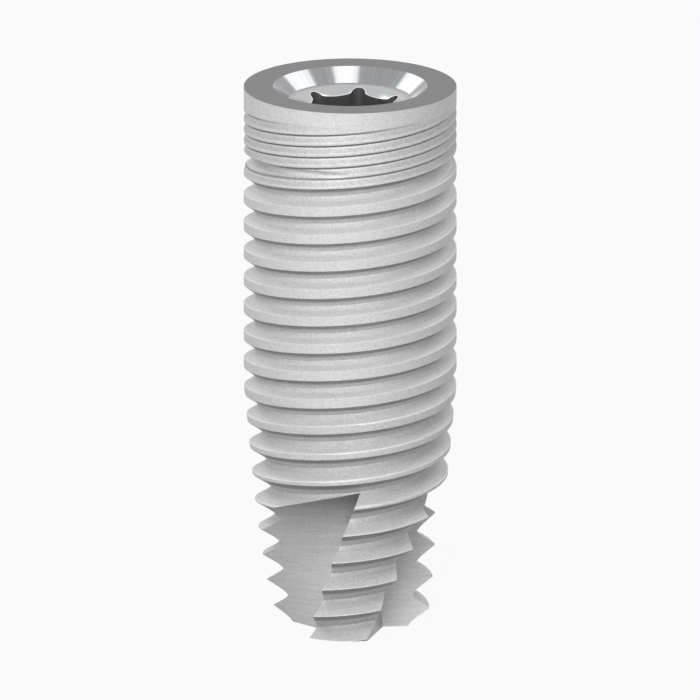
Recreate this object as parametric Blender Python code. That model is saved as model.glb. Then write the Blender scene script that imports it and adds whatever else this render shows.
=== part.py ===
"""Dental implant: one screw-shaped titanium body that is set into the jaw bone.

The body is turned, thread-milled and fluted from one bar, so it is one solid.
Its platform faces +Z and its flat apex stands on the origin's plane.
Azimuths are seen from above and counted from the front (-Y) towards the right (+X).
Depths are measured down from the platform, heights up from the apex.
"""
import math

import bmesh
import bpy
from mathutils import Matrix, Vector

MM = 0.001

# Body, in millimetres and degrees
PLATFORM_DIAMETER = 4.5
BODY_LENGTH = 11.78
TAPER_DEPTH = 6.49
CREST_TAPER = 5.3
ROOT_TAPER = 8.4
APEX_FLAT_DIAMETER = 2.8
APEX_BEVEL = 14.0

# Main thread: two right-hand starts with wide crests and a rounded root
THREAD_STARTS = 2
THREAD_PITCH = 0.6
THREAD_DEPTH = 0.275
THREAD_ROOT_WIDTH = 0.057
THREAD_ROOT_ROUNDING = 0.19
THREAD_UPPER_FLANK = 28.8
THREAD_LOWER_FLANK = 34.3
CREST_LAND = 0.01
THREAD_PHASE = 0.047
THREAD_TOP = 1.2
THREAD_FULL = 1.5

# Fine thread under the collar: more starts with the same lead
FINE_STARTS = 5
FINE_DEPTH = 0.05
FINE_TOP = 0.3
FINE_FULL = 0.53
FINE_FADE = 1.69
FINE_END = 1.88

# Cutting flutes at the apex: a floor and a side wall that both twist as they rise, and
# a flat end. Azimuth and offset hold at the apex, and the twist is in degrees for 1 mm.
FLUTE_COUNT = 3
FLUTE_HEIGHT = 2.83
FLUTE_END_TILT = 17.7
FLUTE_END_AZIMUTH = 33.2
FLUTE_FLOOR_AZIMUTH = -45.6
FLUTE_FLOOR_OFFSET = 0.72
FLUTE_FLOOR_LEAN = -9.6
FLUTE_FLOOR_TWIST = 23.8
FLUTE_WALL_AZIMUTH = -116.5
FLUTE_WALL_OFFSET = 0.24
FLUTE_WALL_LEAN = -9.2
FLUTE_WALL_TWIST = 7.1

# Seat in the platform: a polished bevel down to a narrow ledge
SEAT_MOUTH_DIAMETER = 3.27
SEAT_FLOOR_DIAMETER = 2.62
SEAT_DEPTH = 0.283
LEDGE_DROP = 0.019

# Six-lobed driver socket, its chamfered rim and the bore for the abutment screw
SOCKET_RIM_DIAMETER = 2.156
SOCKET_RIM_CHAMFER = 31.4
SOCKET_FLATS = 1.708
SOCKET_LOBES = 6
LOBE_REACH = 1.061
LOBE_RADIUS = 0.146
LOBE_FILLET = 0.1
LOBE_AZIMUTH = 169.3
SOCKET_DEPTH = 2.6
BORE_DIAMETER = 1.5
BORE_DEPTH = 6.6
DRILL_POINT = 59.0

# How finely the forms are divided, how far a cutter reaches past the body, the distance
# under which two points are one, and the angle from which an edge stays sharp
THREAD_SEGMENTS = 48
TURNED_SEGMENTS = 64
LOBE_SEGMENTS = 8
FILLET_SEGMENTS = 3
ROWS_PER_GROOVE = 5
SHOULDER_SHARE = 0.45
FLUTE_SECTIONS = 28
CUT_MARGIN = 0.5
WELD_DISTANCE = 0.0002
SHARP_ANGLE = 28.0

# Finish of the whole body
TITANIUM_COLOR = (0.62, 0.62, 0.63, 1.0)
TITANIUM_METALLIC = 0.9
TITANIUM_ROUGHNESS = 0.5

PLATFORM_RADIUS = PLATFORM_DIAMETER / 2
THREAD_LEAD = THREAD_STARTS * THREAD_PITCH
ROWS_PER_LEAD = max(ROWS_PER_GROOVE * THREAD_STARTS, 2 * FINE_STARTS)


def lean(degrees):
    """Sideways travel for each unit of travel along a line that leans by this angle."""
    return math.tan(math.radians(degrees))


def ramp(value, start, end):
    """Rise smoothly from 0 at start to 1 at end."""
    share = min(max((value - start) / (end - start), 0.0), 1.0)
    return share * share * (3 - 2 * share)


def outward(azimuth):
    """Horizontal unit vector at an azimuth counted from the front."""
    angle = math.radians(azimuth)
    return Vector((math.sin(angle), -math.cos(angle), 0.0))


def crest_radius(depth):
    """The crests run parallel, then taper to the apex."""
    return PLATFORM_RADIUS - max(depth - TAPER_DEPTH, 0.0) * lean(CREST_TAPER)


def groove_depth(depth):
    """Full depth of the main groove under the crests: the root tapers more than they do."""
    extra = max(depth - TAPER_DEPTH, 0.0) * (lean(ROOT_TAPER) - lean(CREST_TAPER))
    return THREAD_DEPTH + extra


def groove_edges(depth):
    """How far a groove reaches above and below its centre line where its flanks end."""
    flanks = lean(THREAD_LOWER_FLANK) + lean(THREAD_UPPER_FLANK)
    sharp = (THREAD_PITCH - THREAD_ROOT_WIDTH - CREST_LAND) / flanks
    deep = min(groove_depth(depth), sharp)
    above = THREAD_ROOT_WIDTH / 2 + deep * lean(THREAD_LOWER_FLANK)
    below = THREAD_ROOT_WIDTH / 2 + deep * lean(THREAD_UPPER_FLANK)
    return above, below


def flank_height(offset):
    """Height of a groove's flanks over its floor at an offset below its centre line."""
    upper = (-offset - THREAD_ROOT_WIDTH / 2) / lean(THREAD_LOWER_FLANK)
    lower = (offset - THREAD_ROOT_WIDTH / 2) / lean(THREAD_UPPER_FLANK)
    return max(upper, lower)


def rounded_floor(height):
    """Height over the groove floor, with the corners to the flanks rounded off."""
    share = min(max(0.5 + 0.5 * height / THREAD_ROOT_ROUNDING, 0.0), 1.0)
    return height * share + THREAD_ROOT_ROUNDING * share * (1 - share)


def body_radius(turn, depth):
    """Radius of the threaded surface at a share of a turn from the front and a depth."""
    travel = depth - THREAD_PHASE + THREAD_LEAD * turn
    crest = crest_radius(depth)

    below = travel - math.floor(travel / THREAD_PITCH) * THREAD_PITCH
    height = min(flank_height(below), flank_height(below - THREAD_PITCH))
    cut = groove_depth(depth) * ramp(depth, THREAD_TOP, THREAD_FULL)
    main = min(crest, crest - cut + rounded_floor(height))

    fine_pitch = THREAD_LEAD / FINE_STARTS
    share = travel / fine_pitch - math.floor(travel / fine_pitch)
    strength = ramp(depth, FINE_TOP, FINE_FULL) * (1 - ramp(depth, FINE_FADE, FINE_END))
    fine = crest - FINE_DEPTH * strength * (2 * share - 1) ** 2
    return min(main, fine)


def row_travel(row, depth):
    """Distance of a grid row below the first groove's centre line, along the thread.

    Rows keep an even pitch in the fine thread. In the main thread they shift to the
    groove's floor, its rounding and both of its edges.
    """
    above, below = groove_edges(depth)
    shoulder = SHOULDER_SHARE * (THREAD_ROOT_WIDTH + THREAD_ROOT_ROUNDING)
    places = [-above, -shoulder, 0.0, shoulder, below, THREAD_PITCH - above]
    feature = row / ROWS_PER_LEAD * ROWS_PER_GROOVE * THREAD_STARTS + places.index(0.0)
    groove = math.floor(feature / ROWS_PER_GROOVE)
    along = feature - groove * ROWS_PER_GROOVE
    index = math.floor(along)
    step = places[index + 1] - places[index]
    main = groove * THREAD_PITCH + places[index] + step * (along - index)
    even = row * THREAD_LEAD / ROWS_PER_LEAD
    blend = ramp(depth, THREAD_TOP, FINE_END)
    return even + (main - even) * blend


def new_object(name, bm, material=None):
    """Link a mesh made with bmesh as a named object."""
    bmesh.ops.recalc_face_normals(bm, faces=bm.faces)
    mesh = bpy.data.meshes.new(name)
    bm.to_mesh(mesh)
    bm.free()
    if material:
        mesh.materials.append(material)
    made = bpy.data.objects.new(name, mesh)
    bpy.context.scene.collection.objects.link(made)
    return made


def hide_cutter(made):
    """Mark an object as a cutter."""
    made.hide_render = True
    made.display_type = "WIRE"
    return made


def threaded_blank(material):
    """The outer form, lofted along the thread: every row is a helix of the same lead.

    Column 0 and the last column are the same line, one lead apart, so each row runs on
    into the next turn. Both ends are left long and are trimmed by the turned form.
    """
    bm = bmesh.new()
    first = -math.ceil((CUT_MARGIN + THREAD_PHASE) / THREAD_LEAD * ROWS_PER_LEAD)
    reach = BODY_LENGTH + CUT_MARGIN + THREAD_LEAD
    last = math.ceil((reach - THREAD_PHASE) / THREAD_LEAD * ROWS_PER_LEAD)
    grid = {}
    for column in range(THREAD_SEGMENTS):
        turn = column / THREAD_SEGMENTS
        direction = outward(360 * turn)
        for row in range(first - ROWS_PER_LEAD, last + 1):
            even = THREAD_PHASE + row * THREAD_LEAD / ROWS_PER_LEAD - THREAD_LEAD * turn
            depth = THREAD_PHASE + row_travel(row, even) - THREAD_LEAD * turn
            point = direction * body_radius(turn, depth)
            point.z = BODY_LENGTH - depth
            grid[row, column] = point * MM
    verts = {}

    def vert(row, column):
        if column == THREAD_SEGMENTS:
            row -= ROWS_PER_LEAD
            column = 0
        if (row, column) not in verts:
            verts[row, column] = bm.verts.new(grid[row, column])
        return verts[row, column]

    for column in range(THREAD_SEGMENTS):
        for row in range(first, last):
            bm.faces.new([
                vert(row, column),
                vert(row, column + 1),
                vert(row + 1, column + 1),
                vert(row + 1, column),
            ])
    close_end(bm, BODY_LENGTH + THREAD_LEAD + CUT_MARGIN)
    close_end(bm, -THREAD_LEAD - CUT_MARGIN)
    return new_object("implant_body", bm, material)


def close_end(bm, height):
    """Close the open end that lies nearest to a height with a fan to a point on the axis."""
    middle = BODY_LENGTH * MM / 2
    tip = bm.verts.new((0, 0, height * MM))
    upper = tip.co.z > middle
    rim = [edge for edge in bm.edges if edge.is_boundary]
    for edge in rim:
        if (edge.verts[0].co.z > middle) == upper:
            bm.faces.new([edge.verts[0], edge.verts[1], tip])


def turned_form():
    """Everything that is turned on the lathe: apex, platform, seat, rim and screw bore."""
    outer = PLATFORM_RADIUS + CUT_MARGIN
    apex_flat = APEX_FLAT_DIAMETER / 2
    mouth = SEAT_MOUTH_DIAMETER / 2
    ledge = SEAT_FLOOR_DIAMETER / 2
    rim = SOCKET_RIM_DIAMETER / 2
    bore = BORE_DIAMETER / 2
    rim_depth = SEAT_DEPTH + LEDGE_DROP
    cone_depth = rim_depth + (rim - bore) * lean(SOCKET_RIM_CHAMFER)
    profile = [
        (0.0, 0.0),
        (apex_flat, 0.0),
        (outer, (outer - apex_flat) * lean(APEX_BEVEL)),
        (outer, BODY_LENGTH),
        (mouth, BODY_LENGTH),
        (ledge, BODY_LENGTH - SEAT_DEPTH),
        (rim, BODY_LENGTH - rim_depth),
        (bore, BODY_LENGTH - cone_depth),
        (bore, BODY_LENGTH - BORE_DEPTH),
        (0.0, BODY_LENGTH - BORE_DEPTH - bore / lean(DRILL_POINT)),
    ]
    bm = bmesh.new()
    line = [bm.verts.new((radius * MM, 0, height * MM)) for radius, height in profile]
    edges = [bm.edges.new(pair) for pair in zip(line[:-1], line[1:])]
    bmesh.ops.spin(
        bm,
        geom=line + edges,
        cent=(0, 0, 0),
        axis=(0, 0, 1),
        angle=2 * math.pi,
        steps=TURNED_SEGMENTS,
        use_merge=True,
    )
    bmesh.ops.remove_doubles(bm, verts=bm.verts, dist=WELD_DISTANCE * MM)
    return hide_cutter(new_object("turned_form", bm))


def arc(center, radius, start, end, steps):
    """Points on a circle from one angle to another, both ends included."""
    points = []
    for step in range(steps + 1):
        angle = start + (end - start) * step / steps
        points.append(center + Vector((math.cos(angle), math.sin(angle))) * radius)
    return points


def socket_outline():
    """Six flats joined by round lobes, with a fillet on both sides of each lobe."""
    points = []
    half = math.pi / SOCKET_LOBES
    flat = SOCKET_FLATS / 2
    for lobe in range(SOCKET_LOBES):
        turned = Matrix.Rotation(2 * half * lobe, 2)
        center = Vector((LOBE_REACH - LOBE_RADIUS, 0.0))
        normal = Vector((math.cos(half), math.sin(half)))
        along = Vector((-math.sin(half), math.cos(half)))
        gap = flat + LOBE_FILLET - center.dot(normal)
        side = math.sqrt((LOBE_RADIUS + LOBE_FILLET) ** 2 - gap ** 2)
        fillet = center + normal * gap + along * side
        touch = fillet - center
        swing = math.atan2(touch.y, touch.x)
        lobe_arc = arc(center, LOBE_RADIUS, -swing, swing, LOBE_SEGMENTS)
        upper = arc(fillet, LOBE_FILLET, swing + math.pi, half + math.pi, FILLET_SEGMENTS)
        mirror = [Vector((point.x, -point.y)) for point in reversed(upper[1:])]
        points += [turned @ point for point in mirror + lobe_arc + upper[1:]]
    return points


def socket_cutter():
    """The driver socket, a lobed prism from above the platform to the socket's floor."""
    bm = bmesh.new()
    turned = Matrix.Rotation(math.radians(LOBE_AZIMUTH - 90), 2)
    floor = (BODY_LENGTH - SOCKET_DEPTH) * MM
    top = (BODY_LENGTH + CUT_MARGIN) * MM
    outline = [turned @ point * MM for point in socket_outline()]
    face = bm.faces.new([bm.verts.new((point.x, point.y, floor)) for point in outline])
    raised = bmesh.ops.extrude_face_region(bm, geom=[face])
    moved = [item for item in raised["geom"] if isinstance(item, bmesh.types.BMVert)]
    bmesh.ops.translate(bm, verts=moved, vec=(0, 0, top - floor))
    return hide_cutter(new_object("socket_cutter", bm))


def face_line(azimuth, offset, degrees, twist, height):
    """Normal and offset of the line where a twisting face crosses a height."""
    normal = outward(azimuth + twist * height).xy
    return normal, offset + height * lean(degrees)


def flute_section(turn, height):
    """Corners of a flute at one height: its inner corner, then round its open side."""
    floor, floor_offset = face_line(
        FLUTE_FLOOR_AZIMUTH + turn,
        FLUTE_FLOOR_OFFSET,
        FLUTE_FLOOR_LEAN,
        FLUTE_FLOOR_TWIST,
        height,
    )
    wall, wall_offset = face_line(
        FLUTE_WALL_AZIMUTH + turn,
        FLUTE_WALL_OFFSET,
        FLUTE_WALL_LEAN,
        FLUTE_WALL_TWIST,
        height,
    )
    inner = Matrix((floor, wall)).inverted() @ Vector((floor_offset, wall_offset))
    along_floor = Vector((floor.y, -floor.x)) * (PLATFORM_RADIUS + CUT_MARGIN)
    along_wall = Vector((-wall.y, wall.x)) * (PLATFORM_RADIUS + CUT_MARGIN)
    corners = [inner, inner + along_floor, inner + along_floor + along_wall, inner + along_wall]
    return [Vector((corner.x, corner.y, height)) * MM for corner in corners]


def flute_cutter(index):
    """One cutting flute, lofted up its twisting floor and wall and trimmed by its end."""
    turn = 360 * index / FLUTE_COUNT
    slope = lean(FLUTE_END_TILT)
    rise = outward(FLUTE_END_AZIMUTH + turn) * slope
    top = FLUTE_HEIGHT + slope * PLATFORM_RADIUS
    bm = bmesh.new()
    rings = []
    for section in range(FLUTE_SECTIONS + 1):
        height = -CUT_MARGIN + (top + 2 * CUT_MARGIN) * section / FLUTE_SECTIONS
        rings.append([bm.verts.new(corner) for corner in flute_section(turn, height)])
    for ring, above in zip(rings[:-1], rings[1:]):
        for corner in range(len(ring)):
            bm.faces.new([ring[corner - 1], ring[corner], above[corner], above[corner - 1]])
    bm.faces.new(rings[0])
    bm.faces.new(rings[-1])
    bmesh.ops.recalc_face_normals(bm, faces=bm.faces)
    bmesh.ops.triangulate(bm, faces=bm.faces)
    trimmed = bmesh.ops.bisect_plane(
        bm,
        geom=bm.verts[:] + bm.edges[:] + bm.faces[:],
        plane_co=(0, 0, FLUTE_HEIGHT * MM),
        plane_no=Vector((-rise.x, -rise.y, 1)),
        clear_outer=True,
    )
    rim = [item for item in trimmed["geom_cut"] if isinstance(item, bmesh.types.BMEdge)]
    bmesh.ops.contextual_create(bm, geom=rim)
    return hide_cutter(new_object(f"flute_cutter_{index + 1}", bm))


def cut(body, tool, operation):
    """Add a Boolean step to the body, then weld the points that it leaves on one place."""
    step = body.modifiers.new(tool.name, "BOOLEAN")
    step.object = tool
    step.operation = operation
    step.solver = "EXACT"
    weld = body.modifiers.new("weld", "WELD")
    weld.merge_threshold = WELD_DISTANCE * MM


def titanium():
    """Blasted and etched titanium."""
    material = bpy.data.materials.new("blasted_titanium")
    material.use_nodes = True
    shader = material.node_tree.nodes["Principled BSDF"]
    shader.inputs["Base Color"].default_value = TITANIUM_COLOR
    shader.inputs["Metallic"].default_value = TITANIUM_METALLIC
    shader.inputs["Roughness"].default_value = TITANIUM_ROUGHNESS
    return material


def clear_scene():
    for old in list(bpy.data.objects):
        bpy.data.objects.remove(old)


clear_scene()
implant = threaded_blank(titanium())
cut(implant, turned_form(), "INTERSECT")
cut(implant, socket_cutter(), "DIFFERENCE")
for flute in range(FLUTE_COUNT):
    cut(implant, flute_cutter(flute), "DIFFERENCE")
implant.data.shade_smooth()
implant.data.set_sharp_from_angle(angle=math.radians(SHARP_ANGLE))
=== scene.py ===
import math

import bmesh
import bpy
from mathutils import Matrix, Vector


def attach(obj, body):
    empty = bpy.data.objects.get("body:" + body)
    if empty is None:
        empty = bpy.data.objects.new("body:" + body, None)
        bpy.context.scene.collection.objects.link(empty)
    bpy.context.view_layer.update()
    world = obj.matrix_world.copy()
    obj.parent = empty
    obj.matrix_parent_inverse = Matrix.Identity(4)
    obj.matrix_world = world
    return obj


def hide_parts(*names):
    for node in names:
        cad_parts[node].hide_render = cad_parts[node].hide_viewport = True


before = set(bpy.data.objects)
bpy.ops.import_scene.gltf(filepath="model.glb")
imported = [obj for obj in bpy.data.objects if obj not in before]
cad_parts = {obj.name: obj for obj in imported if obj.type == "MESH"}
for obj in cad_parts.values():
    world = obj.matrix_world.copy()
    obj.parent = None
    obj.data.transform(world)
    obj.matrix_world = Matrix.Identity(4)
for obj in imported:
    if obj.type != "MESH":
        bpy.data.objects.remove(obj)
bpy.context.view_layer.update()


# Threaded body. A bar of titanium, thread-milled with two wide-crested starts and, under
# the collar, with five fine ones. The flanks run out towards the platform, and the whole
# thread is blasted and etched to a light, dull grey.
MM = 0.001
THREAD = {
    "Crest Radius": 2.25,
    "Length": 11.78,
    "Taper Depth": 6.49,
    "Crest Taper": math.tan(math.radians(5.3)),
    "Root Taper": math.tan(math.radians(8.4)),
    "Pitch": 0.6,
    "Lead": 1.2,
    "Depth": 0.275,
    "Root Width": 0.057,
    "Root Rounding": 0.19,
    "Upper Flank": math.tan(math.radians(28.8)),
    "Lower Flank": math.tan(math.radians(34.3)),
    "Phase": 0.047,
    "Top": 1.2,
    "Full": 1.5,
    "Fine Pitch": 0.24,
    "Fine Depth": 0.05,
    "Fine Shift": 0.047,
    "Fine Slope": 0.6,
    "Fine Edge": 0.85,
    "Fine Top": 0.3,
    "Fine Full": 0.53,
    "Fine Fade": 1.69,
    "Fine End": 1.88,
    "Overrun": 0.3,
    "Rows per Lead": 60,
    "Columns": 120,
}
# Strengths of the painted shade (groove, undersides, fine thread) and the painted highlights
# (crest and root lines), then of the random grain and tool passes of the surface.
GROOVE_SHADE = 0.3
UNDERSIDE_SHADE = 0.6
FINE_UNDERSIDE_SHADE = 0.74
FINE_SLOPE_SHADE = 0.28
CREST_HIGHLIGHT = 0.4
ROOT_HIGHLIGHT = 0.12
EDGE_WIDTH = 0.022
ROOT_LINE = 0.055
GRAIN_SIZE = 0.05
MOTTLE_SIZE = 0.35
GRAIN_TONE = 0.75
MOTTLE_TONE = 0.06
PASS_TONE = 0.3
BASE_TONE = 0.06
BLASTED_COLOR = (0.68, 0.68, 0.685)
SHADE_AND_GRAIN_COLOR = (0.09, 0.09, 0.095)
HIGHLIGHT_COLOR = (0.85, 0.85, 0.855)


class Wire:
    """A socket of a node tree. Arithmetic on it adds Math nodes to its tree."""

    def __init__(self, graph, socket):
        self.graph = graph
        self.socket = socket

    def out(self, name):
        return Wire(self.graph, self.socket.node.outputs[name])

    def math(self, operation, *others):
        values = dict(enumerate((self, *others)))
        return self.graph.add("ShaderNodeMath", {"operation": operation}, values)

    def flipped(self, operation, other):
        return self.graph.add("ShaderNodeMath", {"operation": operation}, {0: other, 1: self})

    def __add__(self, other):
        return self.math("ADD", other)

    def __radd__(self, other):
        return self.math("ADD", other)

    def __sub__(self, other):
        return self.math("SUBTRACT", other)

    def __rsub__(self, other):
        return self.flipped("SUBTRACT", other)

    def __mul__(self, other):
        return self.math("MULTIPLY", other)

    def __rmul__(self, other):
        return self.math("MULTIPLY", other)

    def __truediv__(self, other):
        return self.math("DIVIDE", other)

    def __rtruediv__(self, other):
        return self.flipped("DIVIDE", other)

    def __pow__(self, other):
        return self.math("POWER", other)

    def __neg__(self):
        return self.math("MULTIPLY", -1.0)

    def __gt__(self, other):
        return self.math("GREATER_THAN", other)

    def __lt__(self, other):
        return self.math("LESS_THAN", other)

    def lowest(self, other):
        return self.math("MINIMUM", other)

    def highest(self, other):
        return self.math("MAXIMUM", other)

    def share(self):
        """The part after the point, also for a value below zero."""
        return self.math("FLOORED_MODULO", 1.0)

    def clear(self):
        """Held between 0 and 1."""
        return self.highest(0.0).lowest(1.0)

    def ramp(self, start, end):
        """Rises smoothly from 0 at start to 1 at end."""
        part = ((self - start) / (end - start)).clear()
        return part * part * (3.0 - 2.0 * part)


class Graph:
    """A node tree that is being written."""

    def __init__(self, tree):
        self.tree = tree

    def add(self, kind, settings=(), inputs=(), output=0):
        node = self.tree.nodes.new(kind)
        for name, value in dict(settings).items():
            setattr(node, name, value)
        for name, value in dict(inputs).items():
            if isinstance(value, Wire):
                self.tree.links.new(value.socket, node.inputs[name])
            else:
                node.inputs[name].default_value = value
        return Wire(self, node.outputs[output]) if node.outputs else node

    def blend(self, factor, low, high):
        """A colour between two, by a factor."""
        low = low if isinstance(low, Wire) else (*low, 1.0)
        high = high if isinstance(high, Wire) else (*high, 1.0)
        return self.add("ShaderNodeMix", {"data_type": "RGBA"}, {0: factor, 6: low, 7: high}, 2)

    def noise(self, place, scale, detail=2.0, roughness=0.5):
        return self.add(
            "ShaderNodeTexNoise",
            {},
            {"Vector": place, "Scale": scale, "Detail": detail, "Roughness": roughness},
        )


class Finish(Graph):
    """A material on Object coordinates, with a point's place on the implant in millimetres."""

    def __init__(self, name):
        self.material = bpy.data.materials.new(name)
        self.material.use_nodes = True
        super().__init__(self.material.node_tree)
        self.shader = self.tree.nodes["Principled BSDF"]
        self.place = self.add("ShaderNodeTexCoord", output="Object")
        split = self.add("ShaderNodeSeparateXYZ", {}, {0: self.place})
        self.x = split.out("X") / MM
        self.y = split.out("Y") / MM
        self.z = split.out("Z") / MM
        self.radius = (self.x * self.x + self.y * self.y) ** 0.5
        self.turn = self.x.math("ARCTAN2", -self.y) / (2 * math.pi)
        self.depth = THREAD["Length"] - self.z

    def set(self, **values):
        """Sets or links the shader's sockets, named with _ for a space."""
        for name, value in values.items():
            socket = self.shader.inputs[name.replace("_", " ")]
            if isinstance(value, Wire):
                self.tree.links.new(value.socket, socket)
            else:
                socket.default_value = value

    def bump(self, height, distance):
        """A normal that follows a height, with its full depth in millimetres."""
        values = {"Strength": 1.0, "Distance": distance * MM, "Height": height}
        return self.add("ShaderNodeBump", {}, values, "Normal")


def crest_radius(depth, size):
    return size["Crest Radius"] - (depth - size["Taper Depth"]).highest(0.0) * size["Crest Taper"]


def groove_depth(depth, size):
    tapered = (depth - size["Taper Depth"]).highest(0.0)
    return tapered * (size["Root Taper"] - size["Crest Taper"]) + size["Depth"]


def flank_height(offset, size):
    half = size["Root Width"] / 2
    upper = (-offset - half) / size["Lower Flank"]
    lower = (offset - half) / size["Upper Flank"]
    return upper.highest(lower)


def body_radius(turn, depth, size):
    """Radius of the threaded surface at a share of a turn from the front and a depth."""
    travel = depth - size["Phase"] + turn * size["Lead"]
    crest = crest_radius(depth, size)

    below = (travel / size["Pitch"]).share() * size["Pitch"]
    height = flank_height(below, size).lowest(flank_height(below - size["Pitch"], size))
    part = (height / size["Root Rounding"] * 0.5 + 0.5).clear()
    floor = height * part + part * (1.0 - part) * size["Root Rounding"]
    cut = groove_depth(depth, size) * depth.ramp(size["Top"], size["Full"])
    main = crest.lowest(crest - cut + floor)

    strand = ((travel + size["Fine Shift"]) / size["Fine Pitch"]).share()
    over = 1.0 - strand / size["Fine Slope"]
    under = (strand - size["Fine Edge"]) / (1.0 - size["Fine Edge"])
    sunken = over.highest(under).highest(0.0)
    fine = crest - sunken * fine_strength(depth, size) * size["Fine Depth"]
    return main.lowest(fine)


def fine_strength(depth, size):
    """The fine thread fades in under the collar and out into the main thread."""
    rising = depth.ramp(size["Fine Top"], size["Fine Full"])
    return rising * (1.0 - depth.ramp(size["Fine Fade"], size["Fine End"]))


blasted = Finish("blasted_titanium")
travel = blasted.depth - THREAD["Phase"] + blasted.turn * THREAD["Lead"]
below = (travel / THREAD["Pitch"]).share() * THREAD["Pitch"]
groove = groove_depth(blasted.depth, THREAD)
sunk = crest_radius(blasted.depth, THREAD) - blasted.radius
threaded = blasted.depth.ramp(THREAD["Top"], THREAD["Full"])

half_root = THREAD["Root Width"] / 2
flanks = THREAD["Upper Flank"] + THREAD["Lower Flank"]
next_root = THREAD["Pitch"] - half_root
tip = (half_root * THREAD["Lower Flank"] + next_root * THREAD["Upper Flank"]) / flanks
upper_edge = (groove * THREAD["Upper Flank"] + half_root).lowest(tip)
lower_edge = (next_root - groove * THREAD["Lower Flank"]).highest(tip)
# Painted shade: a dark band under the lower edge of each crest, where the crest shades the
# underside of the thread.
underside = (below - lower_edge).ramp(-0.008, 0.012) * (1.0 - (sunk / groove).ramp(0.4, 0.75))
# Painted highlights: thin bright lines along the upper edge of each crest and along the root's
# rounding, where these edges catch the light.
upper_line = (1.0 - ((below - upper_edge) / EDGE_WIDTH).math("ABSOLUTE")).clear()
root_line = (1.0 - ((below - ROOT_LINE) / EDGE_WIDTH).math("ABSOLUTE")).clear()

# Painted shade on the fine thread: a dark line under each ridge, and a darker slope below it,
# where the ridge above shades it.
strand = ((travel + THREAD["Fine Shift"]) / THREAD["Fine Pitch"]).share()
fine_under = strand.ramp(0.78, 0.87).highest(1.0 - strand.ramp(0.0, 0.07))
fine_slope = strand.ramp(0.02, 0.3) * (1.0 - strand.ramp(0.5, 0.62))
fine = fine_under * FINE_UNDERSIDE_SHADE + fine_slope * FINE_SLOPE_SHADE
fine = fine * fine_strength(blasted.depth, THREAD) * (1.0 - sunk.ramp(0.05, 0.09))

grain = blasted.noise(blasted.place, 1 / (GRAIN_SIZE * MM), 3.0, 0.7)
mottle = blasted.noise(blasted.place, 1 / (MOTTLE_SIZE * MM), 2.0, 0.5)
along_tool = {0: below * 22.0, 1: blasted.x * 0.5, 2: blasted.z * 0.5}
passes = blasted.add("ShaderNodeCombineXYZ", {}, along_tool)
tooling = blasted.noise(passes, 1.0, 2.0, 0.5)
on_thread = threaded * (1.0 - (sunk / groove).ramp(1.05, 1.3))
# The dark colour is mixed in partly as painted shade (undersides, groove depth, fine thread) and
# partly as the random grain, mottle and tool passes of the blasted surface.
shade_and_grain = (underside * threaded * UNDERSIDE_SHADE).highest(fine)
# Painted shade: the colour grows darker with depth in the groove, down to the root.
shade_and_grain = shade_and_grain.highest(sunk.lowest(groove) * GROOVE_SHADE)
shade_and_grain = shade_and_grain + (grain - 0.5) * GRAIN_TONE + (mottle - 0.5) * MOTTLE_TONE + BASE_TONE
shade_and_grain = shade_and_grain + (tooling - 0.5) * PASS_TONE * (sunk / groove).ramp(0.05, 0.2) * on_thread
body_color = blasted.blend(shade_and_grain.clear(), BLASTED_COLOR, SHADE_AND_GRAIN_COLOR)
# The painted highlights are mixed into the colour on the thread only.
painted_highlight = (upper_line * CREST_HIGHLIGHT + root_line * ROOT_HIGHLIGHT) * on_thread
blasted.set(
    Base_Color=blasted.blend(painted_highlight, body_color, HIGHLIGHT_COLOR),
    Metallic=0.3,
    Roughness=0.5 + grain * 0.15,
    Normal=blasted.bump(grain, 0.012),
)

tree = bpy.data.node_groups.new("threaded_skin", "GeometryNodeTree")
for name, value in THREAD.items():
    kind = "NodeSocketInt" if isinstance(value, int) else "NodeSocketFloat"
    tree.interface.new_socket(name, in_out="INPUT", socket_type=kind)
tree.interface.new_socket("Geometry", in_out="OUTPUT", socket_type="NodeSocketGeometry")

skin = Graph(tree)
inputs = skin.add("NodeGroupInput")
size = {name: inputs.out(name) for name in THREAD}
step = size["Lead"] / size["Rows per Lead"]
span = size["Length"] + size["Lead"] + size["Overrun"] * 3.0
rows = (span / step).math("CEIL")
counts = {"Vertices X": size["Columns"] + 1, "Vertices Y": rows}
grid = skin.add("GeometryNodeMeshGrid", {}, counts)
index = skin.add("GeometryNodeInputIndex")
column = ((index + 0.5) / rows).math("FLOOR")
row = index - column * rows
turn = column / size["Columns"]
lead_in = ((size["Overrun"] * 1.5 + size["Phase"]) / step).math("CEIL") * step - size["Phase"]
depth = row * step - turn * size["Lead"] - lead_in
inside = (depth > -size["Overrun"]) * (depth < size["Length"] + size["Overrun"])
radius = body_radius(turn, depth, size) * inside
held = depth.highest(-size["Overrun"]).lowest(size["Length"] + size["Overrun"])
height = size["Length"] - held
angle = turn * (2 * math.pi)
point = {
    0: radius * angle.math("SINE") * MM,
    1: -radius * angle.math("COSINE") * MM,
    2: height * MM,
}
lofted = skin.add(
    "GeometryNodeSetPosition",
    {},
    {"Geometry": grid, "Position": skin.add("ShaderNodeCombineXYZ", {}, point)},
)
welded = skin.add("GeometryNodeMergeByDistance", {}, {"Geometry": lofted, "Distance": 1e-7})
whole = skin.add("GeometryNodeRealizeInstances", {}, {"Geometry": welded})
dressed = skin.add(
    "GeometryNodeSetMaterial",
    {},
    {"Geometry": whole, "Material": blasted.material},
)
skin.add("NodeGroupOutput", {}, {"Geometry": dressed})

implant = bpy.data.objects.new("implant", bpy.data.meshes.new("implant"))
bpy.context.scene.collection.objects.link(implant)
loft = implant.modifiers.new("threaded_skin", "NODES")
loft.node_group = tree
for socket in tree.interface.items_tree:
    if socket.in_out == "INPUT":
        loft[socket.identifier] = THREAD[socket.name]


def settle(piece):
    """Turns a piece and its modifiers into one plain mesh."""
    graph = bpy.context.evaluated_depsgraph_get()
    mesh = bpy.data.meshes.new_from_object(piece.evaluated_get(graph))
    piece.modifiers.clear()
    piece.data = mesh


settle(implant)


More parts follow.
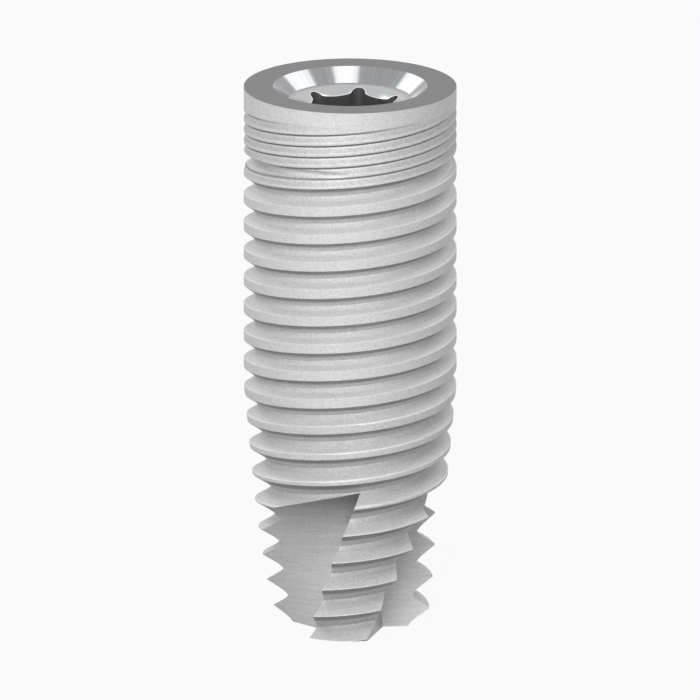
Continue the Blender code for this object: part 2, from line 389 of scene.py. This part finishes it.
# Platform, seat and bore. All of them are turned on the lathe, in one clamping with the
# apex: a matt platform, a polished bevel that seats the abutment, a narrow ledge, and the
# bore for its screw.
LENGTH = THREAD["Length"]
APEX_FLAT = 1.4
APEX_BEVEL = math.tan(math.radians(14))
SEAT_MOUTH = 1.635
SEAT_FLOOR = 1.31
SEAT_DEPTH = 0.283
LEDGE_DROP = 0.019
RIM_RADIUS = 1.078
RIM_SLOPE = math.tan(math.radians(31.4))
BORE_RADIUS = 0.75
BORE_DEPTH = 6.6
DRILL_POINT = math.tan(math.radians(59))
MARGIN = 0.5
TURNED_STEPS = 192
GRIT_SIZE = 0.04
MILLED_GRIT_SIZE = 0.035
PLATFORM_DARK, PLATFORM_LIGHT = (0.10, 0.104, 0.10), (0.27, 0.274, 0.27)
BEVEL_DARK, BEVEL_LIGHT = (0.22, 0.225, 0.23), (0.44, 0.445, 0.455)
LEDGE_DARK, LEDGE_LIGHT = (0.40, 0.405, 0.41), (0.62, 0.625, 0.635)
MILLED_DARK, MILLED_LIGHT = (0.26, 0.26, 0.265), (0.82, 0.82, 0.83)

platform = Finish("machined_platform")
rings = platform.noise(
    platform.add("ShaderNodeCombineXYZ", {}, {0: platform.radius}), 60.0, 2.0, 0.6
)
grit = platform.noise(platform.place, 1 / (GRIT_SIZE * MM), 2.0, 0.5)
platform.set(
    Base_Color=platform.blend(rings * 0.35 + grit * 0.25 + 0.15, PLATFORM_DARK, PLATFORM_LIGHT),
    Metallic=0.6,
    Roughness=0.45 + grit * 0.1,
    Normal=platform.bump(rings, 0.004),
)

bevel = Finish("polished_bevel")
burnish = bevel.noise(bevel.add("ShaderNodeCombineXYZ", {}, {0: bevel.turn}), 90.0, 3.0, 0.6)
bevel.set(
    Base_Color=bevel.blend(burnish, BEVEL_DARK, BEVEL_LIGHT),
    Metallic=1.0,
    Roughness=0.10 + burnish * 0.08,
)

ledge = Finish("turned_ledge")
marks = ledge.noise(ledge.add("ShaderNodeCombineXYZ", {}, {0: ledge.radius}), 90.0, 2.0, 0.6)
ledge_color = ledge.blend(marks, LEDGE_DARK, LEDGE_LIGHT)
ledge.set(Metallic=0.95, Roughness=0.16 + marks * 0.1)

milled = Finish("milled_titanium")
across = {0: milled.x * 0.8, 1: milled.y * 0.8, 2: milled.z * 11.0}
strokes = milled.noise(milled.add("ShaderNodeCombineXYZ", {}, across), 1.6, 3.0, 0.65)
fine_grit = milled.noise(milled.place, 1 / (MILLED_GRIT_SIZE * MM), 2.0, 0.6)
milled.set(
    Base_Color=milled.blend(strokes * 0.5 + fine_grit * 0.5, MILLED_DARK, MILLED_LIGHT),
    Metallic=0.3,
    Roughness=0.42 + strokes * 0.12,
    Normal=milled.bump(strokes * 0.35 + fine_grit * 0.65, 0.003),
)


def new_object(name, bm, *finishes):
    """Link a mesh made with bmesh as a named object with its materials."""
    bmesh.ops.recalc_face_normals(bm, faces=bm.faces)
    mesh = bpy.data.meshes.new(name)
    bm.to_mesh(mesh)
    bm.free()
    for finish in finishes:
        mesh.materials.append(finish.material)
    made = bpy.data.objects.new(name, mesh)
    bpy.context.scene.collection.objects.link(made)
    return made


def turned(name, profile, *finishes):
    """A closed form turned round the axis, from (radius, height, finish index) points.

    The index is that of the finish on the stretch which ends at the point.
    """
    bm = bmesh.new()
    rings = []
    for radius, height, _ in profile:
        if radius == 0:
            rings.append([bm.verts.new((0, 0, height * MM))] * TURNED_STEPS)
            continue
        ring = []
        for step in range(TURNED_STEPS):
            angle = 2 * math.pi * step / TURNED_STEPS
            point = (math.sin(angle) * radius, -math.cos(angle) * radius, height)
            ring.append(bm.verts.new(Vector(point) * MM))
        rings.append(ring)
    for low, high, (_, _, finish) in zip(rings[:-1], rings[1:], profile[1:]):
        for step in range(TURNED_STEPS):
            corners = dict.fromkeys([low[step - 1], low[step], high[step], high[step - 1]])
            bm.faces.new(list(corners)).material_index = finish
    return new_object(name, bm, *finishes)


outer = THREAD["Crest Radius"] + MARGIN
ledge_height = LENGTH - SEAT_DEPTH - LEDGE_DROP
turned_form = turned(
    "turned_form",
    [
        (0, 0, 0),
        (APEX_FLAT, 0, 4),
        (outer, (outer - APEX_FLAT) * APEX_BEVEL, 4),
        (outer, LENGTH, 3),
        (SEAT_MOUTH, LENGTH, 0),
        (SEAT_FLOOR, LENGTH - SEAT_DEPTH, 1),
        (RIM_RADIUS, ledge_height, 2),
        (BORE_RADIUS, ledge_height - (RIM_RADIUS - BORE_RADIUS) * RIM_SLOPE, 2),
        (BORE_RADIUS, LENGTH - BORE_DEPTH, 3),
        (0, LENGTH - BORE_DEPTH - BORE_RADIUS / DRILL_POINT, 3),
    ],
    platform,
    bevel,
    ledge,
    milled,
    blasted,
)


# Driver socket. Six lobes that take the driver, milled into the bore below the ledge.
SOCKET_FLAT = 0.854
SOCKET_DEPTH = 2.6
LOBES = 6
LOBE_REACH = 1.061
LOBE_RADIUS = 0.146
LOBE_FILLET = 0.1
LOBE_AZIMUTH = 169.3
LOBE_STEPS = 20
FILLET_STEPS = 6
WALL_DARK, WALL_LIGHT = (0.16, 0.165, 0.17), (0.50, 0.505, 0.51)
EDGE_HIGHLIGHT_COLOR = (0.85, 0.85, 0.86)


def arc(center, radius, start, end, steps):
    """Points on a circle from one angle to another, both ends included."""
    points = []
    for step in range(steps + 1):
        angle = start + (end - start) * step / steps
        points.append(center + Vector((math.cos(angle), math.sin(angle))) * radius)
    return points


half = math.pi / LOBES
lobe_center = Vector((LOBE_REACH - LOBE_RADIUS, 0))
flat_normal = Vector((math.cos(half), math.sin(half)))
flat_along = Vector((-math.sin(half), math.cos(half)))
gap = SOCKET_FLAT + LOBE_FILLET - lobe_center.dot(flat_normal)
reach = math.sqrt((LOBE_RADIUS + LOBE_FILLET) ** 2 - gap ** 2)
fillet_center = lobe_center + flat_normal * gap + flat_along * reach
swing = math.atan2(fillet_center.y - lobe_center.y, fillet_center.x - lobe_center.x)
lobe = arc(lobe_center, LOBE_RADIUS, -swing, swing, LOBE_STEPS)
upper = arc(fillet_center, LOBE_FILLET, swing + math.pi, half + math.pi, FILLET_STEPS)[1:]
lower = [Vector((point.x, -point.y)) for point in reversed(upper)]
outline = []
for lobe_number in range(LOBES):
    turning = Matrix.Rotation(2 * half * lobe_number + math.radians(LOBE_AZIMUTH - 90), 2)
    outline += [turning @ point for point in lower + lobe + upper]

bm = bmesh.new()
floor_height = (LENGTH - SOCKET_DEPTH) * MM
corners = [bm.verts.new((point.x * MM, point.y * MM, floor_height)) for point in outline]
face = bm.faces.new(corners)
raised = bmesh.ops.extrude_face_region(bm, geom=[face])["geom"]
moved = [item for item in raised if isinstance(item, bmesh.types.BMVert)]
bmesh.ops.translate(bm, verts=moved, vec=(0, 0, (SOCKET_DEPTH + MARGIN) * MM))

broached = Finish("socket_walls")
round_wall = broached.add("ShaderNodeCombineXYZ", {}, {0: broached.turn})
lines = broached.noise(round_wall, 90.0, 3.0, 0.6)
broached.set(
    Base_Color=broached.blend(lines, WALL_DARK, WALL_LIGHT),
    Metallic=0.9,
    Roughness=0.25 + lines * 0.1,
)
socket_form = new_object("socket_form", bm, broached)

# Painted highlight: the edge of the socket is painted bright, where a small chamfer on it would
# catch the light.
swung = ((ledge.turn * LOBES - LOBE_AZIMUTH * LOBES / 360 + 0.5).share() - 0.5) * (2 * half)
along = ledge.radius * swung.math("COSINE")
aside = (ledge.radius * swung.math("SINE")).math("ABSOLUTE")
to_lobe = (((along - lobe_center.x) ** 2 + aside * aside) ** 0.5) - LOBE_RADIUS
to_flat = along * flat_normal.x + aside * flat_normal.y - SOCKET_FLAT
to_edge = to_lobe.math("SMOOTH_MIN", to_flat, LOBE_FILLET)
edge_highlight = 1.0 - to_edge.ramp(0.005, 0.024)
ledge.set(Base_Color=ledge.blend(edge_highlight, ledge_color, EDGE_HIGHLIGHT_COLOR))


# Cutting flutes. Three of them are milled at the apex, so that the implant cuts its own
# way into the bone. Each has a floor and a side wall that twist as they rise, and a flat end.
FLUTES = 3
FLUTE_HEIGHT = 2.83
FLUTE_SLOPE = math.tan(math.radians(17.7))
FLUTE_SLOPE_AZIMUTH = 33.2
FLOOR_FACE = (-45.6, 0.72, math.tan(math.radians(-9.6)), 23.8)
WALL_FACE = (-116.5, 0.24, math.tan(math.radians(-9.2)), 7.1)
FLUTE_SECTIONS = 60
FACE_STEPS = 24
FLUTE_REACH = 4.5


def outward(azimuth):
    angle = math.radians(azimuth)
    return Vector((math.sin(angle), -math.cos(angle), 0))


def flute_section(turn, height):
    """Corners of a flute at one height: its inner corner, then round its open side."""
    lines = []
    for azimuth, offset, slope, twist in (FLOOR_FACE, WALL_FACE):
        lines.append((outward(azimuth + turn + twist * height).xy, offset + height * slope))
    (floor, floor_offset), (wall, wall_offset) = lines
    inner = Matrix((floor, wall)).inverted() @ Vector((floor_offset, wall_offset))
    along_floor = Vector((floor.y, -floor.x)) * FLUTE_REACH
    along_wall = Vector((-wall.y, wall.x)) * FLUTE_REACH
    corners = [inner + along_floor * step / FACE_STEPS for step in range(FACE_STEPS + 1)]
    corners.append(inner + along_floor + along_wall)
    corners += [inner + along_wall * step / FACE_STEPS for step in range(FACE_STEPS, 0, -1)]
    return [Vector((corner.x, corner.y, height)) * MM for corner in corners]


flute_forms = []
for flute in range(FLUTES):
    turn = 360 * flute / FLUTES
    rise = outward(FLUTE_SLOPE_AZIMUTH + turn) * FLUTE_SLOPE
    top = FLUTE_HEIGHT + FLUTE_SLOPE * THREAD["Crest Radius"] + MARGIN
    bm = bmesh.new()
    rings = []
    for section in range(FLUTE_SECTIONS + 1):
        height = -MARGIN + (top + MARGIN) * section / FLUTE_SECTIONS
        rings.append([bm.verts.new(corner) for corner in flute_section(turn, height)])
    for ring, above in zip(rings[:-1], rings[1:]):
        for corner in range(len(ring)):
            bm.faces.new([ring[corner - 1], ring[corner], above[corner], above[corner - 1]])
    bm.faces.new(rings[0])
    bm.faces.new(rings[-1])
    bmesh.ops.recalc_face_normals(bm, faces=bm.faces)
    bmesh.ops.triangulate(bm, faces=bm.faces)
    trimmed = bmesh.ops.bisect_plane(
        bm,
        geom=bm.verts[:] + bm.edges[:] + bm.faces[:],
        plane_co=(0, 0, FLUTE_HEIGHT * MM),
        plane_no=Vector((-rise.x, -rise.y, 1)),
        clear_outer=True,
    )
    rim = [item for item in trimmed["geom_cut"] if isinstance(item, bmesh.types.BMEdge)]
    bmesh.ops.contextual_create(bm, geom=rim)
    flute_forms.append(new_object(f"flute_form_{flute + 1}", bm, milled))

WELD = 0.0002 * MM
SHARP = math.radians(42)

for form in [turned_form, socket_form, *flute_forms]:
    cut = implant.modifiers.new(form.name, "BOOLEAN")
    cut.object = form
    cut.operation = "INTERSECT" if form is turned_form else "DIFFERENCE"
    cut.solver = "EXACT"
    cut.material_mode = "TRANSFER"
    settle(implant)
    bm = bmesh.new()
    bm.from_mesh(implant.data)
    bmesh.ops.remove_doubles(bm, verts=bm.verts, dist=WELD)
    bmesh.ops.dissolve_degenerate(bm, edges=bm.edges, dist=WELD)
    bm.to_mesh(implant.data)
    bm.free()
    bpy.data.objects.remove(form)

bm = bmesh.new()
bm.from_mesh(implant.data)
for face in bm.faces:
    face.smooth = True
for edge in bm.edges:
    finishes = {face.material_index for face in edge.link_faces}
    edge.smooth = len(finishes) == 1 and edge.calc_face_angle(0) < SHARP
bm.to_mesh(implant.data)
bm.free()

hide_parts("implant_body")
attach(implant, "root")


# Floor, soft lights and camera. The floor is plain paper, and its glow and the world's show
# as the pale background, also in the metal. A large softbox lights the front, a rim lamp the
# back, and three smaller softboxes above and behind show as bright bands in the bevel.
BACKGROUND = 0.956
FILL = 0.21
PAPER_GLOW = 0.94
CAMERA_DISTANCE = 60
VIEW_WIDTH = 14.799


def shows_background(graph):
    """1 for the rays that see the pale background: from the camera, off metal, through glass."""
    ray = graph.add("ShaderNodeLightPath")
    mirrored = ray.out("Is Glossy Ray").highest(ray.out("Is Transmission Ray"))
    return ray.out("Is Camera Ray").highest(mirrored)


paper = bpy.data.materials.new("paper")
paper.use_nodes = True
sheet = Graph(paper.node_tree)
matt = paper.node_tree.nodes["Principled BSDF"]
matt.inputs["Base Color"].default_value = (0.25, 0.25, 0.25, 1)
matt.inputs["Roughness"].default_value = 0.9
glow = sheet.add("ShaderNodeEmission", {}, {"Color": (1, 1, 1, 1), "Strength": 1.0})
shares = {0: shows_background(sheet) * PAPER_GLOW, 1: Wire(sheet, matt.outputs[0]), 2: glow}
mixed = sheet.add("ShaderNodeMixShader", {}, shares)
paper.node_tree.links.new(mixed.socket, paper.node_tree.nodes["Material Output"].inputs[0])

bm = bmesh.new()
bmesh.ops.create_grid(bm, x_segments=1, y_segments=1, size=0.4)
floor = bpy.data.objects.new("floor", bpy.data.meshes.new("floor"))
bm.to_mesh(floor.data)
bm.free()
floor.data.materials.append(paper)
bpy.context.scene.collection.objects.link(floor)

world = bpy.data.worlds.new("studio")
bpy.context.scene.world = world
world.use_nodes = True
sky = Graph(world.node_tree)
level = shows_background(sky) * (BACKGROUND - FILL) + FILL
backdrop = world.node_tree.nodes["Background"]
world.node_tree.links.new(level.socket, backdrop.inputs["Strength"])
backdrop.inputs["Color"].default_value = (1, 1, 1, 1)

MIDDLE = Vector((0, 0, LENGTH / 2)) * MM
for name, azimuth, elevation, distance, width, power in (
    ("key", -13, 32, 60, 50, 0.0348),
    ("rim", 160, 12, 60, 30, 0.006),
    ("back_left", -135, 33, 60, 31, 0.0058),
    ("top", 36, 82, 60, 18, 0.0022),
    ("back_right", 121, 46, 60, 30, 0.0054),
):
    lamp = bpy.data.lights.new(name, "AREA")
    lamp.size = width * MM
    lamp.energy = power
    lit = bpy.data.objects.new(name, lamp)
    tilt = math.radians(elevation)
    way = outward(azimuth) * math.cos(tilt) + Vector((0, 0, math.sin(tilt)))
    lit.location = MIDDLE + way * distance * MM
    lit.rotation_euler = way.to_track_quat("Z", "Y").to_euler()
    lit.visible_glossy = name != "rim"
    lit.visible_camera = False
    bpy.context.scene.collection.objects.link(lit)

VIEW_ELEVATION = math.radians(15.05)
camera = bpy.data.objects.new("camera", bpy.data.cameras.new("camera"))
bpy.context.scene.collection.objects.link(camera)
camera.data.type = "ORTHO"
camera.data.ortho_scale = VIEW_WIDTH * MM
camera.data.clip_start = 1 * MM
camera.data.clip_end = 1.0
toward = Vector((0, -math.cos(VIEW_ELEVATION), math.sin(VIEW_ELEVATION)))
upward = Vector((0, math.sin(VIEW_ELEVATION), math.cos(VIEW_ELEVATION)))
aim = Vector((0, 0, LENGTH)) - Vector((0.0036, 0, 0)) - upward * 5.581
camera.location = (aim + toward * CAMERA_DISTANCE) * MM
camera.rotation_euler = (math.pi / 2 - VIEW_ELEVATION, 0, 0)
bpy.context.scene.camera = camera
bpy.context.scene.view_settings.view_transform = "Standard"
